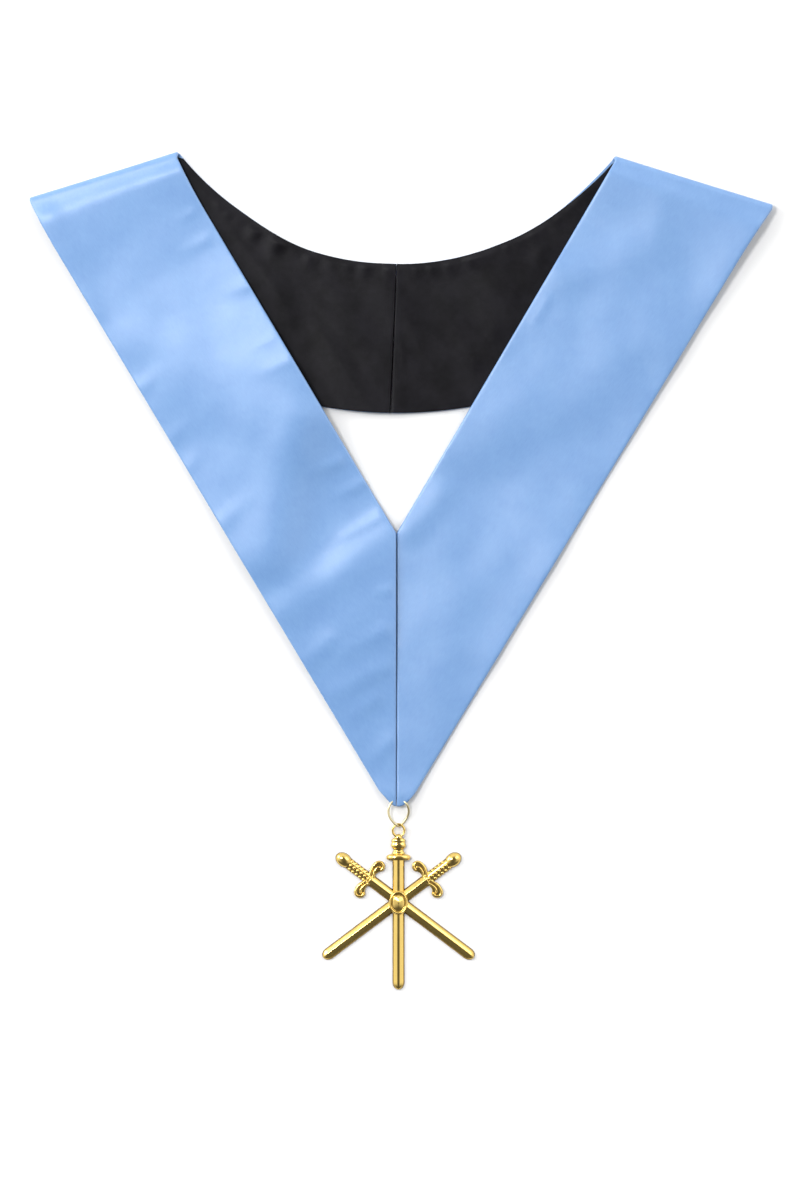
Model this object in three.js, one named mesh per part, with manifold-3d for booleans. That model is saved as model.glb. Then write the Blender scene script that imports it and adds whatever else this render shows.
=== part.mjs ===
// A satin regalia collar laid out flat, lining up at the back, with a split ring and a cast jewel
// at its point. Millimetres, +Z up, the table at z = 0, the front of the collar towards -Y.
// Plan positions are measured from the notch where the two front bands meet.
import * as THREE from 'three';
import { mergeVertices } from 'three/addons/utils/BufferGeometryUtils.js';
import Module from 'manifold-3d';

const wasm = await Module();
wasm.setup();

// cloth: a stiffened satin shell with turned edges, and a thinner lining inside it
const SATIN_WALL = 1.2;
const LINING_WALL = 1.0;
const FIT_GAP = 0.3;
const BAND_WIDTH = 100;
const LIP_WIDTH = 1.6;
const SEAM_GAP = 0.3;
const BAND_THICK = SATIN_WALL + FIT_GAP + LINING_WALL;

// front bands: from the shoulder fold down to the mitre seam and the blunt point
const POINT_DROP = 182;
const POINT_BOW = 1.2;
const LINING_POINT_DROP = 172;
const NECK_HALF = 146.7;
const NECK_RISE = 252;
const CORNER_HALF = 248;
const CORNER_RISE = 221;

// back panel: two arcs struck from one centre above the notch
const ARC_CENTRE_RISE = 363.7;
const NECK_RADIUS = 184.4;
const BACK_WIDTH = 99.4;
const BACK_SEAM_SLANT = 4;

// how the cloth lies: the shoulder roll, the front band resting on the back panel
const ROLL_INNER_RADIUS = 1.5;
const ROLL_RADIUS = ROLL_INNER_RADIUS + BAND_THICK;
const REST_GAP = 0.6;
const REST_RUNOUT = 64;
const ROLL_RUNOUT = 46;
const EASE_LENGTH = 40;
const POINT_SETBACK = 1.0;

// each side's own measure of the lie: leans in degrees, the rest as a share of the size named
const SIDES = {
  left: {
    sign: -1, innerLean: 30.7, outerLean: 30.88, outerDrop: 1.0495,
    neckHalf: 1.002, neckRise: 1.005, cornerHalf: 0.987, cornerRise: 1.0104, bareEdge: 0.06,
    rollRun: 1.65,
  },
  right: {
    sign: 1, innerLean: 30.45, outerLean: 31.26, outerDrop: 1.0654,
    neckHalf: 0.997, neckRise: 0.995, cornerHalf: 1.012, cornerRise: 0.9896, bareEdge: 0.36,
    rollRun: 0.57,
  },
};

// soft folds of the front bands: ends, rise and breadth as shares of the band width
const FOLDS = [
  { side: 'left', fromX: -0.74, fromY: 0.94, toX: -0.92, toY: 0.09, rise: 0.026, breadth: 0.420 },
  { side: 'left', fromX: -0.70, fromY: 0.75, toX: -0.90, toY: -0.03, rise: 0.016, breadth: 0.200 },
  { side: 'left', fromX: -0.06, fromY: -0.06, toX: -0.76, toY: -0.57, rise: 0.021, breadth: 0.110 },
  { side: 'left', fromX: -0.04, fromY: -0.28, toX: -0.58, toY: -0.78, rise: 0.011, breadth: 0.260 },
  { side: 'left', fromX: -0.98, fromY: 1.63, toX: -1.16, toY: 1.59, rise: 0.005, breadth: 0.100 },
  { side: 'right', fromX: 1.78, fromY: 2.35, toX: 1.69, toY: 2.05, rise: 0.014, breadth: 0.140 },
  { side: 'right', fromX: 1.64, fromY: 1.98, toX: 1.09, toY: 1.78, rise: 0.011, breadth: 0.120 },
  { side: 'right', fromX: 2.45, fromY: 2.07, toX: 2.17, toY: 1.61, rise: 0.020, breadth: 0.170 },
  { side: 'right', fromX: 1.86, fromY: 1.07, toX: 1.54, toY: 0.55, rise: 0.016, breadth: 0.170 },
  { side: 'right', fromX: 1.10, fromY: -0.18, toX: 0.69, toY: -0.78, rise: 0.013, breadth: 0.170 },
  { side: 'right', fromX: 0.37, fromY: 0.50, toX: 0.82, toY: 0.89, rise: 0.009, breadth: 0.150 },
  { side: 'left', fromX: 0.00, fromY: -1.76, toX: -0.10, toY: -1.76, rise: 0.010, breadth: 0.090 },
  { side: 'right', fromX: 0.00, fromY: -1.76, toX: 0.10, toY: -1.76, rise: 0.010, breadth: 0.090 },
];

// stations along a band: steps over the back panel, round the roll and down the front
const BACK_STEPS = 10;
const ROLL_STEPS = 6;
const FRONT_STEPS = 21;
const FRONT_CROWDING = 1.25;

// split ring: a soft wire oval through two holes in the point and through the jewel's loop
const RING_WIRE = 1.5;
const RING_WIDTH = 14;
const RING_LENGTH = 20.1;
const RING_X = 1.4;
const RING_Y = -186;
const RING_CLEARANCE = 0.3;
const RING_SEGMENTS = 56;
const WIRE_SIDES = 8;

// jewel: one flat-backed casting of three swords and an oval boss
const JEWEL_X = 1.3;
const CROSSING_Y = -245.5;
const SWORD_LEAN = 37;
const BLADE_WIDTH = 7.9;
const BLADE_HEIGHT = 3.2;
const BLADE_FLAT = 1.5;
const BLADE_EDGE = 0.7;
const BLADE_TIP_LENGTH = 5;
const CENTRE_BLADE_REACH = 59;
const SIDE_BLADE_REACH = 62.8;
const GUARD_BACK = 24.5;
const GUARD_REACH = 14.5;
const GUARD_PLATE = 1.9;
const GUARD_RIDGE = 0.85;
const GRIP_WIDTH = 7.6;
const GRIP_HEIGHT = 2.5;
const GRIP_BEAD = 1.3;
const GRIP_BEAD_ROWS = 3;
const GRIP_BEADS = 6;
const POMMEL_BACK = 22.8;
const POMMEL_RADIUS = 4.3;
const BOSS_HALF_WIDTH = 6.4;
const BOSS_HALF_HEIGHT = 8.2;
const BOSS_HEIGHT = 3.9;
const BOSS_RIM = 0.75;
const BOSS_DOME = 1.5;
const HILT_FLATTEN = 0.52;
const HILT_AXIS_Z = 1.1;
const HILT_REACH = 42.3;
const LOOP_Y = -198.3;
const LOOP_RADIUS = 4.9;
const LOOP_HOLE_HALF_WIDTH = 2.8;
const LOOP_HOLE_HALF_HEIGHT = 3.35;
const LOOP_BOTTOM = RING_WIRE + 2 * RING_CLEARANCE;
const LOOP_THICK = 1.5;

const LOOP_TOP = LOOP_BOTTOM + LOOP_THICK;
const WIRE_LOW = RING_WIRE / 2 + 0.2;
const WIRE_OVER_LOOP = LOOP_TOP + RING_CLEARANCE + RING_WIRE / 2;

// the wire's path: across and along as shares of half the ring's width and length, and its height
const RING_PATH = [
  { across: -0.04, along: 1.0, z: WIRE_LOW + 0.15 },
  { across: -0.36, along: 0.93, z: WIRE_LOW + 0.5 },
  { across: -0.67, along: 0.76, z: WIRE_OVER_LOOP - 0.5 },
  { across: -0.91, along: 0.45, z: WIRE_OVER_LOOP },
  { across: -1.0, along: 0.05, z: WIRE_OVER_LOOP },
  { across: -0.86, along: -0.36, z: WIRE_OVER_LOOP },
  { across: -0.55, along: -0.70, z: WIRE_OVER_LOOP + 0.1 },
  { across: -0.20, along: -0.955, z: WIRE_OVER_LOOP - 0.1 },
  { across: 0.0, along: -1.0, z: LOOP_BOTTOM + LOOP_THICK / 2 },
  { across: 0.20, along: -0.955, z: WIRE_LOW + 0.1 },
  { across: 0.55, along: -0.68, z: WIRE_LOW },
  { across: 0.87, along: -0.31, z: WIRE_LOW + 0.5 },
  { across: 1.0, along: 0.08, z: WIRE_LOW + 2.0 },
  { across: 0.90, along: 0.46, z: WIRE_OVER_LOOP },
  { across: 0.62, along: 0.76, z: WIRE_OVER_LOOP - 0.5 },
  { across: 0.30, along: 0.93, z: WIRE_LOW + 0.5 },
];

const rad = THREE.MathUtils.degToRad;
const lerp = THREE.MathUtils.lerp;
const smooth = THREE.MathUtils.smoothstep;

// a three.js geometry as a closed solid, turned outwards
function solid(geometry) {
  const plain = geometry.clone();
  plain.deleteAttribute('normal');
  plain.deleteAttribute('uv');
  const merged = mergeVertices(plain, 1e-4);
  const at = merged.attributes.position.array;
  const index = merged.index.array;
  const triangles = [];
  let volume = 0;
  const a = new THREE.Vector3();
  const b = new THREE.Vector3();
  const c = new THREE.Vector3();
  for (let i = 0; i < index.length; i += 3) {
    const [p, q, r] = [index[i], index[i + 1], index[i + 2]];
    if (p !== q && q !== r && r !== p) {
      triangles.push([p, q, r]);
      a.fromArray(at, 3 * p);
      b.fromArray(at, 3 * q);
      c.fromArray(at, 3 * r);
      volume += a.dot(b.cross(c));
    }
  }
  const turned = volume < 0 ? triangles.map(([p, q, r]) => [p, r, q]) : triangles;
  return new wasm.Manifold(new wasm.Mesh({
    numProp: 3,
    vertProperties: new Float32Array(at),
    triVerts: new Uint32Array(turned.flat()),
  }));
}

function named(body, name, colour, roughness, metalness) {
  const data = body.getMesh();
  const geometry = new THREE.BufferGeometry();
  geometry.setAttribute('position', new THREE.BufferAttribute(data.vertProperties, 3));
  geometry.setIndex(new THREE.BufferAttribute(data.triVerts, 1));
  geometry.computeVertexNormals();
  const material = new THREE.MeshStandardMaterial({ color: colour, roughness, metalness });
  const mesh = new THREE.Mesh(geometry, material);
  mesh.name = name;
  return mesh;
}

function joined(bodies) {
  return bodies.reduce((whole, body) => whole.add(body));
}

function box(width, depth, height, x, y, z) {
  const geometry = new THREE.BoxGeometry(width, depth, height);
  geometry.translate(x, y, z);
  return solid(geometry);
}

// where one side's cloth lies: its edge lines, fold line and the two arcs of its back half
function layOf(side) {
  const neck = new THREE.Vector2(side.neckHalf * NECK_HALF, side.neckRise * NECK_RISE);
  const corner = new THREE.Vector2(side.cornerHalf * CORNER_HALF, side.cornerRise * CORNER_RISE);
  const centre = new THREE.Vector2(0, ARC_CENTRE_RISE);
  const foldLine = corner.clone().sub(neck).normalize();
  const away = new THREE.Vector2(-foldLine.y, foldLine.x);
  const neckStart = neck.clone().addScaledVector(away, -ROLL_RADIUS);
  const cornerStart = corner.clone().addScaledVector(away, -ROLL_RADIUS);
  const polar = (p) => ({
    radius: p.distanceTo(centre),
    angle: Math.atan2(p.x, centre.y - p.y),
  });
  return {
    side, away, neckStart, cornerStart, centre,
    neckPolar: polar(neckStart),
    cornerPolar: polar(cornerStart),
  };
}

function backPoint(lay, share, along) {
  const slant = -lay.side.sign * BACK_SEAM_SLANT / (NECK_RADIUS + BACK_WIDTH);
  const innerAngle = lerp(0, lay.neckPolar.angle, along);
  const outerAngle = lerp(slant, lay.cornerPolar.angle, along);
  const innerRadius = lerp(NECK_RADIUS, lay.neckPolar.radius, along ** 4);
  const outerRadius = lerp(NECK_RADIUS + BACK_WIDTH, lay.cornerPolar.radius, along ** 4);
  const angle = lerp(innerAngle, outerAngle, share);
  const radius = lerp(innerRadius, outerRadius, share);
  const clear = SEAM_GAP / 2 * (1 - along);
  return new THREE.Vector2(
    radius * Math.sin(angle) + clear,
    ARC_CENTRE_RISE - radius * Math.cos(angle),
  );
}

function edgePoint(start, lean, drop, along) {
  const rise = start.y + drop;
  const line = rise * Math.tan(rad(lean));
  const fromFold = Math.hypot(rise, line) * along;
  const ease = (start.x - line) * Math.max(0, 1 - fromFold / EASE_LENGTH) ** 2;
  return new THREE.Vector2(
    line * (1 - along) + ease + SEAM_GAP / 2 * along,
    start.y - rise * along,
  );
}

function frontPoint(lay, share, along) {
  const { side, neckStart, cornerStart } = lay;
  const inner = edgePoint(neckStart, side.innerLean, 0, along);
  const outer = edgePoint(cornerStart, side.outerLean, side.outerDrop * POINT_DROP, along);
  return inner.lerp(outer, share);
}

// height of the satin's face on the front band: over the back panel, then down on the table
function frontHeight(lay, point, along) {
  const { side, centre, neckStart } = lay;
  const past = point.distanceTo(centre) - NECK_RADIUS - BACK_WIDTH;
  const over = (BAND_THICK + REST_GAP) * (1 - smooth(past, 0, REST_RUNOUT));
  const crown = 2 * ROLL_RADIUS - 2 * BAND_THICK - REST_GAP;
  const fade = 1 - smooth(along * neckStart.length(), 0, side.rollRun * ROLL_RUNOUT);
  const roll = crown * fade;
  const away = (BAND_THICK + REST_GAP - over) * fade;
  let folds = 0;
  for (const row of FOLDS) {
    if (SIDES[row.side] === side) {
      const from = new THREE.Vector2(side.sign * row.fromX, row.fromY).multiplyScalar(BAND_WIDTH);
      const run = new THREE.Vector2(side.sign * row.toX, row.toY).multiplyScalar(BAND_WIDTH).sub(from);
      const nearest = point.clone().sub(from).dot(run) / run.lengthSq();
      const foot = from.clone().addScaledVector(run, THREE.MathUtils.clamp(nearest, 0, 1));
      const off = point.distanceTo(foot) / (row.breadth * BAND_WIDTH);
      folds += row.rise * BAND_WIDTH * Math.exp(-off * off);
    }
  }
  const easeOff = smooth(along * neckStart.length(), 0, ROLL_RUNOUT / 2);
  return BAND_THICK + over + roll + away + folds * easeOff;
}

// the point of the cloth at a share of the width, a station and a depth behind the satin's face
function clothPoint(lay, share, station, depth) {
  const { side } = lay;
  if (station <= BACK_STEPS) {
    const p = backPoint(lay, share, station / BACK_STEPS);
    return [side.sign * p.x, p.y, depth];
  }
  if (station < BACK_STEPS + ROLL_STEPS) {
    const start = lay.neckStart.clone().lerp(lay.cornerStart, share);
    const turn = Math.PI * ((station - BACK_STEPS) / ROLL_STEPS - 0.5);
    const radius = ROLL_RADIUS - depth;
    start.addScaledVector(lay.away, radius * Math.cos(turn));
    return [side.sign * start.x, start.y, ROLL_RADIUS + radius * Math.sin(turn)];
  }
  const along = ((station - BACK_STEPS - ROLL_STEPS) / FRONT_STEPS) ** FRONT_CROWDING;
  const p = frontPoint(lay, share, along);
  return [side.sign * p.x, p.y, frontHeight(lay, p, along) - depth];
}

// how far each station's edges are turned: 0 on the back panel, 1 from the roll on
function turnedAt(station) {
  return smooth(station, BACK_STEPS, BACK_STEPS + ROLL_STEPS * 0.4);
}

function bareAt(lay, station) {
  const from = BACK_STEPS * (1 - lay.side.bareEdge);
  return smooth(station, from, BACK_STEPS * (1 - lay.side.bareEdge * 0.1));
}

// a section extruded along the stations and laid down vertex by vertex
function laid(lay, section, place) {
  const shape = new THREE.Shape(section.map(([x, y]) => new THREE.Vector2(x, y)));
  const steps = BACK_STEPS + ROLL_STEPS + FRONT_STEPS;
  const geometry = new THREE.ExtrudeGeometry(shape, { depth: steps, steps, bevelEnabled: false });
  const position = geometry.attributes.position;
  for (let i = 0; i < position.count; i += 1) {
    const station = Math.round(position.getZ(i));
    const [share, depth] = place(position.getX(i), position.getY(i), station);
    position.setXYZ(i, ...clothPoint(lay, share, station, depth));
  }
  return solid(geometry);
}

const COLUMNS = [0.04, 0.13, 0.25, 0.38, 0.5, 0.62, 0.75, 0.87, 0.96].map((c) => c * BAND_WIDTH);

// satin section: a plate with a lip turned up along each edge
function satinSection() {
  const soft = SATIN_WALL * 0.3;
  const half = [
    [LIP_WIDTH, SATIN_WALL],
    [LIP_WIDTH, BAND_THICK],
    [soft, BAND_THICK],
    [0, BAND_THICK - soft],
    [0, SATIN_WALL],
    [soft, soft],
    [SATIN_WALL, 0],
  ];
  const other = half.map(([x, y]) => [BAND_WIDTH - x, y]).reverse();
  const face = COLUMNS.map((x) => [x, 0]);
  const back = COLUMNS.map((x) => [x, SATIN_WALL]).reverse();
  return [...half, ...face, ...other, ...back];
}

function satinBand(lay) {
  return laid(lay, satinSection(), (x, depth, station) => {
    const lip = Math.max(turnedAt(station), 0.04);
    const turned = SATIN_WALL + (depth - SATIN_WALL) * lip;
    return [x / BAND_WIDTH, depth > SATIN_WALL ? turned : depth];
  });
}

// lining section: a plain plate, set in from the satin's lips where they are turned; it is
// drawn from the rim to the neck, so its facets run the same way as the satin's inner ones
function liningBand(lay) {
  const inner = BAND_THICK - LINING_WALL;
  const columns = [0, ...COLUMNS, BAND_WIDTH];
  const section = [
    ...columns.map((x) => [x, inner]),
    ...columns.map((x) => [x, BAND_THICK]).reverse(),
  ];
  const inset = (LIP_WIDTH + FIT_GAP) / BAND_WIDTH;
  return laid(lay, section, (x, depth, station) => {
    const atNeck = inset * Math.max(bareAt(lay, station), 0.05);
    const atRim = inset * Math.max(smooth(station, BACK_STEPS - 1, BACK_STEPS), 0.05);
    return [THREE.MathUtils.clamp(1 - x / BAND_WIDTH, atNeck, 1 - atRim), depth];
  });
}

// ring: the wire swept round its path, and a fatter copy that cuts its holes
function ringWire(radius) {
  const points = RING_PATH.map(({ across, along, z }) => new THREE.Vector3(
    RING_X + across * RING_WIDTH / 2,
    RING_Y + along * RING_LENGTH / 2,
    z,
  ));
  const path = new THREE.CatmullRomCurve3(points, true, 'centripetal');
  return solid(new THREE.TubeGeometry(path, RING_SEGMENTS, radius, WIRE_SIDES, true));
}

// everything past the point's bowed end
function pastPoint(drop) {
  const half = BAND_WIDTH / 2;
  const end = new THREE.Shape();
  end.moveTo(-half, -drop + POINT_SETBACK);
  end.quadraticCurveTo(0, -drop - POINT_BOW, half, -drop + POINT_SETBACK);
  end.lineTo(half, -drop - half);
  end.lineTo(-half, -drop - half);
  const depth = 6 * BAND_THICK;
  const geometry = new THREE.ExtrudeGeometry(end, { depth, bevelEnabled: false, curveSegments: 12 });
  geometry.translate(0, 0, -BAND_THICK);
  return solid(geometry);
}

// blade: a ridged bar along +X from the crossing, its end rounded in plan
function blade(from, to) {
  const half = BLADE_WIDTH / 2;
  const shoulder = half - BLADE_EDGE;
  const profile = [
    [-half, 0], [half, 0], [half, BLADE_HEIGHT * 0.22], [shoulder, BLADE_HEIGHT * 0.5],
    [BLADE_FLAT / 2, BLADE_HEIGHT], [-BLADE_FLAT / 2, BLADE_HEIGHT],
    [-shoulder, BLADE_HEIGHT * 0.5], [-half, BLADE_HEIGHT * 0.22],
  ];
  const section = new THREE.Shape(profile.map(([x, y]) => new THREE.Vector2(x, y)));
  const bar = new THREE.ExtrudeGeometry(section, { depth: to - from, bevelEnabled: false });
  bar.rotateX(Math.PI / 2);
  bar.rotateZ(Math.PI / 2);
  bar.translate(from, 0, 0);
  const plan = new THREE.Shape();
  const bevel = BLADE_HEIGHT * 0.5;
  const trim = BLADE_EDGE;
  plan.moveTo(from - trim, -half - 1);
  plan.lineTo(to - BLADE_TIP_LENGTH, -half - 1);
  plan.lineTo(to - BLADE_TIP_LENGTH, -half + trim);
  plan.absellipse(
    to - BLADE_TIP_LENGTH, 0, BLADE_TIP_LENGTH - trim, half - trim, -Math.PI / 2, Math.PI / 2, false, 0,
  );
  plan.lineTo(to - BLADE_TIP_LENGTH, half + 1);
  plan.lineTo(from - trim, half + 1);
  const cut = new THREE.ExtrudeGeometry(plan, {
    depth: bevel, bevelEnabled: true, bevelThickness: bevel + 1, bevelSize: trim * 1.7,
    bevelOffset: -trim * 0.7, bevelSegments: 1, curveSegments: 7,
  });
  cut.translate(0, 0, -bevel * 0.4);
  return solid(bar).intersect(solid(cut));
}

function ball(radius, x, y, z, flatten = 1, sides = 10) {
  const geometry = new THREE.SphereGeometry(radius, sides, Math.ceil(sides * 0.6));
  geometry.scale(1, 1, flatten);
  geometry.translate(x, y, z);
  return solid(geometry);
}

function ridge(points, radius, z) {
  const path = new THREE.CatmullRomCurve3(points.map(([x, y]) => new THREE.Vector3(x, y, z)));
  const round = new THREE.Shape();
  round.absarc(0, 0, radius, 0, 2 * Math.PI, false);
  const rod = new THREE.ExtrudeGeometry(round, {
    steps: 2 * points.length - 2, curveSegments: 3, extrudePath: path,
  });
  const ends = [points[0], points[points.length - 1]]
    .map(([x, y]) => ball(radius * 1.02, x, y, z, 1, 8));
  return joined([solid(rod), ...ends]);
}

// quillon outline and its two raised ridges, along the sword and outwards, as shares of the reach
const QUILLON = [
  [0.23, 0], [0.23, 0.14], [0.14, 0.28], [0.12, 0.41], [0.17, 0.55], [0.28, 0.67], [0.27, 0.85],
  [0.14, 0.98], [-0.05, 1.0], [-0.21, 0.88], [-0.27, 0.64], [-0.25, 0.41], [-0.14, 0.19], [-0.1, 0],
];
const OUTER_RIDGE = [
  [-0.05, 0.1], [-0.16, 0.38], [-0.2, 0.62], [-0.15, 0.82], [-0.03, 0.93], [0.12, 0.9],
  [0.2, 0.8], [0.19, 0.68],
];
const INNER_RIDGE = [[0.08, 0.2], [-0.01, 0.42], [-0.01, 0.62], [0.06, 0.72]];

function quillon(hand) {
  const at = ([x, y]) => [x * GUARD_REACH, hand * y * GUARD_REACH];
  const outline = new THREE.Shape(QUILLON.map((p) => new THREE.Vector2(...at(p))));
  const bevel = GUARD_RIDGE * 0.5;
  const plate = new THREE.ExtrudeGeometry(outline, {
    depth: GUARD_PLATE - bevel, bevelEnabled: true, bevelThickness: bevel, bevelSize: bevel,
    bevelOffset: -bevel, bevelSegments: 1,
  });
  return joined([
    solid(plate),
    ridge(OUTER_RIDGE.map(at), GUARD_RIDGE, GUARD_PLATE),
    ridge(INNER_RIDGE.map(at), GUARD_RIDGE, GUARD_PLATE),
  ]);
}

// a sword along +X with the crossing at its origin
function sideSword() {
  const gripFrom = -GUARD_BACK - POMMEL_BACK;
  const gripLength = POMMEL_BACK + GUARD_REACH * 0.1;
  const grip = new THREE.CylinderGeometry(GRIP_WIDTH / 2, GRIP_WIDTH / 2, gripLength, 12);
  grip.rotateZ(Math.PI / 2);
  grip.scale(1, 1, GRIP_HEIGHT / (GRIP_WIDTH / 2));
  grip.translate(gripFrom + gripLength / 2, 0, 0);
  const pommel = new THREE.CapsuleGeometry(POMMEL_RADIUS, POMMEL_RADIUS * 0.7, 4, 12);
  pommel.rotateZ(Math.PI / 2);
  pommel.scale(1, 1, BLADE_HEIGHT * 1.15 / POMMEL_RADIUS);
  pommel.translate(gripFrom + POMMEL_RADIUS * 0.35, 0, 0);
  const beads = [];
  const beadFrom = gripFrom + POMMEL_RADIUS * 1.35 + GRIP_BEAD;
  const pitch = (-GUARD_BACK - GRIP_BEAD * 0.6 - beadFrom) / (GRIP_BEADS - 1);
  for (let row = 0; row < GRIP_BEAD_ROWS; row += 1) {
    const round = Math.PI * (0.2 + 0.6 * row / (GRIP_BEAD_ROWS - 1));
    for (let i = 0; i < GRIP_BEADS; i += 1) {
      beads.push(ball(
        GRIP_BEAD,
        beadFrom + pitch * (i + 0.25 * (row - 1)),
        Math.cos(round) * (GRIP_WIDTH / 2 - GRIP_BEAD * 0.5),
        Math.sin(round) * (GRIP_HEIGHT - GRIP_BEAD * 0.45),
        1,
        7,
      ));
    }
  }
  const collar = ball(GRIP_WIDTH * 0.46, -GUARD_BACK + GUARD_REACH * 0.08, 0, 0, 0.95);
  const guard = joined([quillon(1), quillon(-1)]).translate([-GUARD_BACK, 0, 0]);
  return joined([
    solid(grip), solid(pommel), ...beads,
    guard,
    collar,
    blade(-GUARD_BACK, SIDE_BLADE_REACH),
  ]);
}

// hilt of the upright sword, turned about Y: radius and distance out as shares of its reach
const HILT_PROFILE = [
  { radius: 0, along: 1.0 }, { radius: 0.06, along: 0.998 }, { radius: 0.1, along: 0.975 },
  { radius: 0.115, along: 0.94 }, { radius: 0.105, along: 0.905 }, { radius: 0.088, along: 0.885 },
  { radius: 0.093, along: 0.865 }, { radius: 0.099, along: 0.84 }, { radius: 0.093, along: 0.815 },
  { radius: 0.077, along: 0.8 }, { radius: 0.084, along: 0.79 }, { radius: 0.086, along: 0.78 },
  { radius: 0.1, along: 0.765 }, { radius: 0.13, along: 0.745 }, { radius: 0.165, along: 0.72 },
  { radius: 0.187, along: 0.702 }, { radius: 0.191, along: 0.688 }, { radius: 0.183, along: 0.672 },
  { radius: 0.13, along: 0.655 }, { radius: 0, along: 0.64 },
];

function uprightSword() {
  const profile = HILT_PROFILE.map(({ radius, along }) => new THREE.Vector2(
    radius * HILT_REACH, along * HILT_REACH,
  ));
  const hilt = new THREE.LatheGeometry(profile, 14);
  hilt.scale(1, 1, HILT_FLATTEN);
  hilt.translate(0, CROSSING_Y, HILT_AXIS_Z);
  const steel = blade(-HILT_REACH * 0.68, CENTRE_BLADE_REACH).rotate([0, 0, -90]);
  const stemY = (CROSSING_Y + HILT_REACH + LOOP_Y - LOOP_RADIUS) / 2;
  return joined([
    solid(hilt),
    ball(LOOP_RADIUS * 0.52, 0, stemY, LOOP_BOTTOM, 0.7),
    steel.translate([0, CROSSING_Y, 0]),
  ]);
}

function oval(halfWidth, halfHeight) {
  const shape = new THREE.Shape();
  shape.absellipse(0, 0, halfWidth, halfHeight, 0, 2 * Math.PI, false, 0);
  return shape;
}

function boss() {
  const plate = new THREE.ExtrudeGeometry(oval(BOSS_HALF_WIDTH, BOSS_HALF_HEIGHT), {
    depth: BOSS_HEIGHT, bevelEnabled: false, curveSegments: 14,
  });
  const rimPoints = oval(BOSS_HALF_WIDTH - BOSS_RIM, BOSS_HALF_HEIGHT - BOSS_RIM).getPoints(12);
  rimPoints.pop();
  const rim = new THREE.CatmullRomCurve3(
    rimPoints.map((p) => new THREE.Vector3(p.x, p.y, BOSS_HEIGHT)), true,
  );
  const dome = new THREE.SphereGeometry(1, 14, 8);
  dome.scale(BOSS_HALF_WIDTH - 2.6 * BOSS_RIM, BOSS_HALF_HEIGHT - 2.6 * BOSS_RIM, BOSS_DOME);
  dome.translate(0, 0, BOSS_HEIGHT);
  return joined([
    solid(plate),
    solid(new THREE.TubeGeometry(rim, 24, BOSS_RIM, 6, true)),
    solid(dome),
  ]);
}

function hangingLoop() {
  const outline = oval(LOOP_RADIUS, LOOP_RADIUS);
  outline.holes.push(oval(LOOP_HOLE_HALF_WIDTH, LOOP_HOLE_HALF_HEIGHT));
  const round = LOOP_THICK * 0.28;
  const geometry = new THREE.ExtrudeGeometry(outline, {
    depth: LOOP_THICK - 2 * round, bevelEnabled: true, bevelThickness: round, bevelSize: round,
    bevelOffset: -round, bevelSegments: 1, curveSegments: 9,
  });
  geometry.translate(0, LOOP_Y, LOOP_BOTTOM + round);
  return solid(geometry);
}

function jewel() {
  const swords = [-SWORD_LEAN, SWORD_LEAN - 180].map((turn) => sideSword()
    .rotate([0, 0, turn]).translate([0, CROSSING_Y, 0]));
  const whole = joined([
    ...swords,
    uprightSword(),
    boss().translate([0, CROSSING_Y - 1, 0]),
    hangingLoop(),
  ]);
  const reach = 2 * SIDE_BLADE_REACH;
  const under = box(2 * reach, 2 * reach, reach, 0, CROSSING_Y, -reach / 2);
  return whole.subtract(under).translate([JEWEL_X, 0, 0]);
}

const ringClearance = ringWire(RING_WIRE / 2 + RING_CLEARANCE);
const lays = { left: layOf(SIDES.left), right: layOf(SIDES.right) };
const SATIN = '#86abe4';
const LINING = '#232226';
const CHAMPAGNE = '#d9cda6';
const GOLD = '#d9ac48';

const group = new THREE.Group();
group.name = 'regalia_collar';
for (const [hand, lay] of Object.entries(lays)) {
  const satin = satinBand(lay).subtract(pastPoint(POINT_DROP)).subtract(ringClearance);
  const lining = liningBand(lay).subtract(pastPoint(LINING_POINT_DROP));
  group.add(named(satin, `satin_${hand}`, SATIN, 0.45, 0));
  group.add(named(lining, `lining_${hand}`, LINING, 0.85, 0));
}
group.add(named(ringWire(RING_WIRE / 2), 'suspension_ring', CHAMPAGNE, 0.25, 1));
group.add(named(jewel(), 'jewel', GOLD, 0.2, 1));

const bounds = new THREE.Box3().setFromObject(group);
for (const mesh of group.children) {
  mesh.geometry.translate(
    -(bounds.min.x + bounds.max.x) / 2,
    -(bounds.min.y + bounds.max.y) / 2,
    -bounds.min.z,
  );
}

export default group;
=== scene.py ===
"""Looks for a satin regalia collar laid out flat: finished cloth, wire ring, cast jewel, stage."""

import math

import bmesh
import bpy
from bpy.props import FloatProperty, FloatVectorProperty, IntProperty, PointerProperty
from mathutils import Matrix, Vector, noise


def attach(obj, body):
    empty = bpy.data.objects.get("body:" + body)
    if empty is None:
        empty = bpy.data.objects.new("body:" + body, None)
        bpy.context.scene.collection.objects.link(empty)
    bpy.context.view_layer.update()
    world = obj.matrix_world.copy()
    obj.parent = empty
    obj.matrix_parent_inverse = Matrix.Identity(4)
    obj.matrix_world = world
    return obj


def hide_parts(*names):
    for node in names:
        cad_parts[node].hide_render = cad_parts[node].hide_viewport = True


bl_info = {
    "name": "Satin collar looks",
    "version": (1, 0, 0),
    "blender": (4, 5, 0),
    "location": "3D View > Sidebar > Collar",
    "description": "Finished cloth, ring and jewel of a flat laid satin collar",
    "category": "Object",
}

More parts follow.
